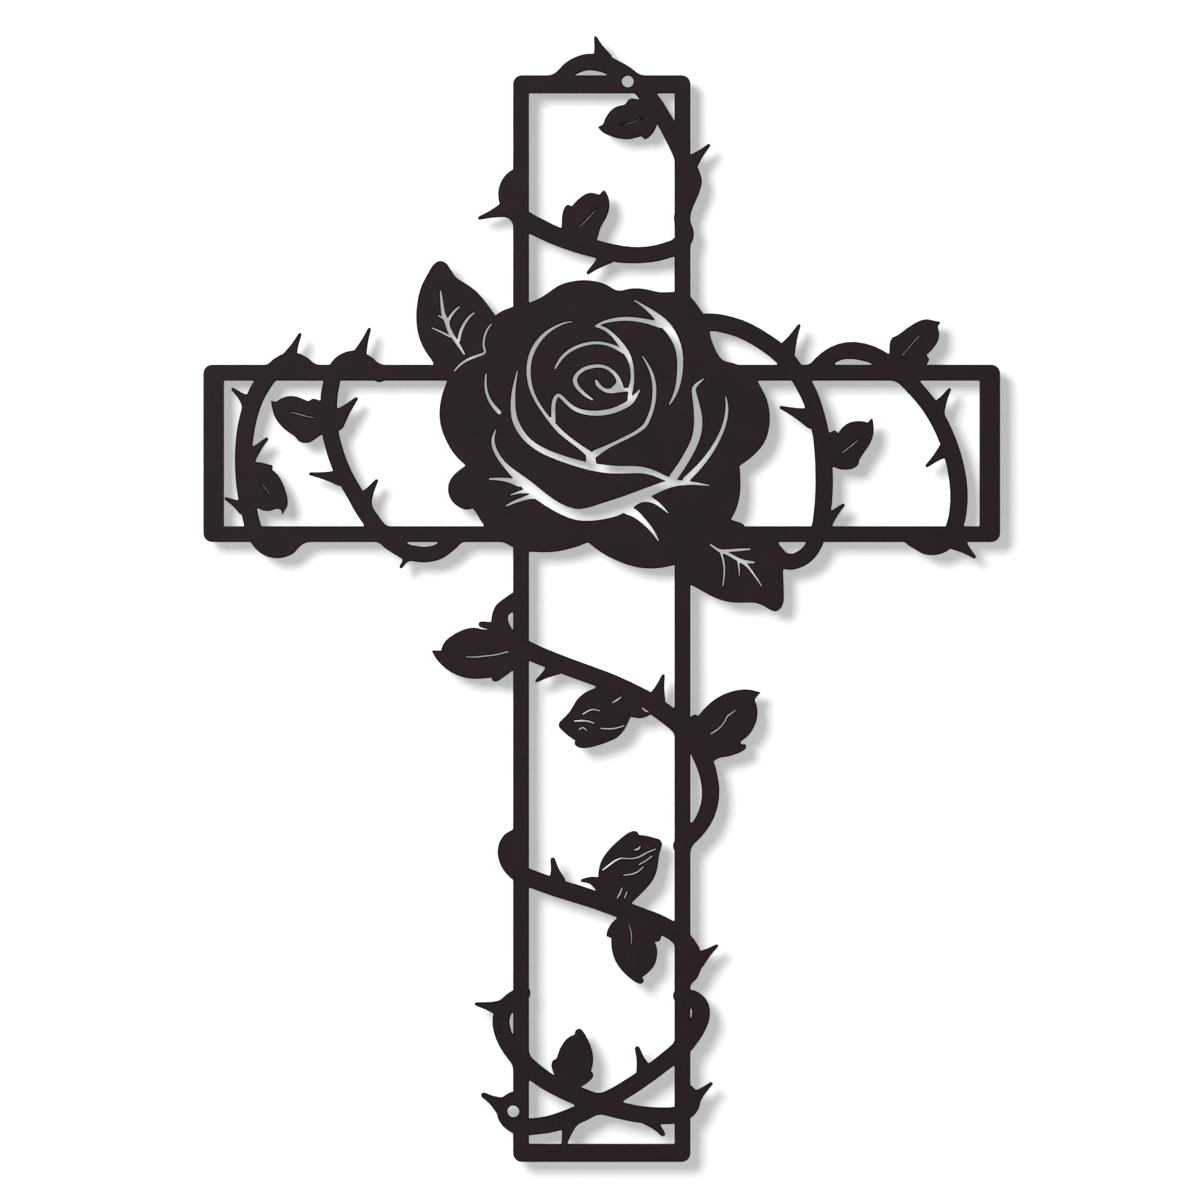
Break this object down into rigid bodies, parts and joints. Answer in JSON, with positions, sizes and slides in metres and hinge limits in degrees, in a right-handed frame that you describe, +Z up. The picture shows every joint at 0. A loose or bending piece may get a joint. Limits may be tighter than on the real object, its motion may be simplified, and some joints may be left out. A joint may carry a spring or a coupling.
{
  "type": "openwork wall cross",
  "caption": "Flat wall cross cut from steel plate: an open frame of narrow bars with a rose over its crossing and thorny, leafy vines winding round the limbs, with screw holes at top and foot.",
  "frame": {"origin": "on the axis of the top hanging hole, in the plane of the back face, where the screw leaves the wall", "axes": "+Z up, along the cross's upright; +X to the right as seen from the front; the front faces -Y and the back faces +Y, against the wall"},
  "size_m": [0.3188, 0.003, 0.4504],
  "materials": {
    "powder_coat": "dark brown-black satin powder coat over steel plate, on both faces and every cut edge"
  },
  "bodies": {
    "root": {"rose_cross_plate": "powder_coat"}
  },
  "joints": []
}
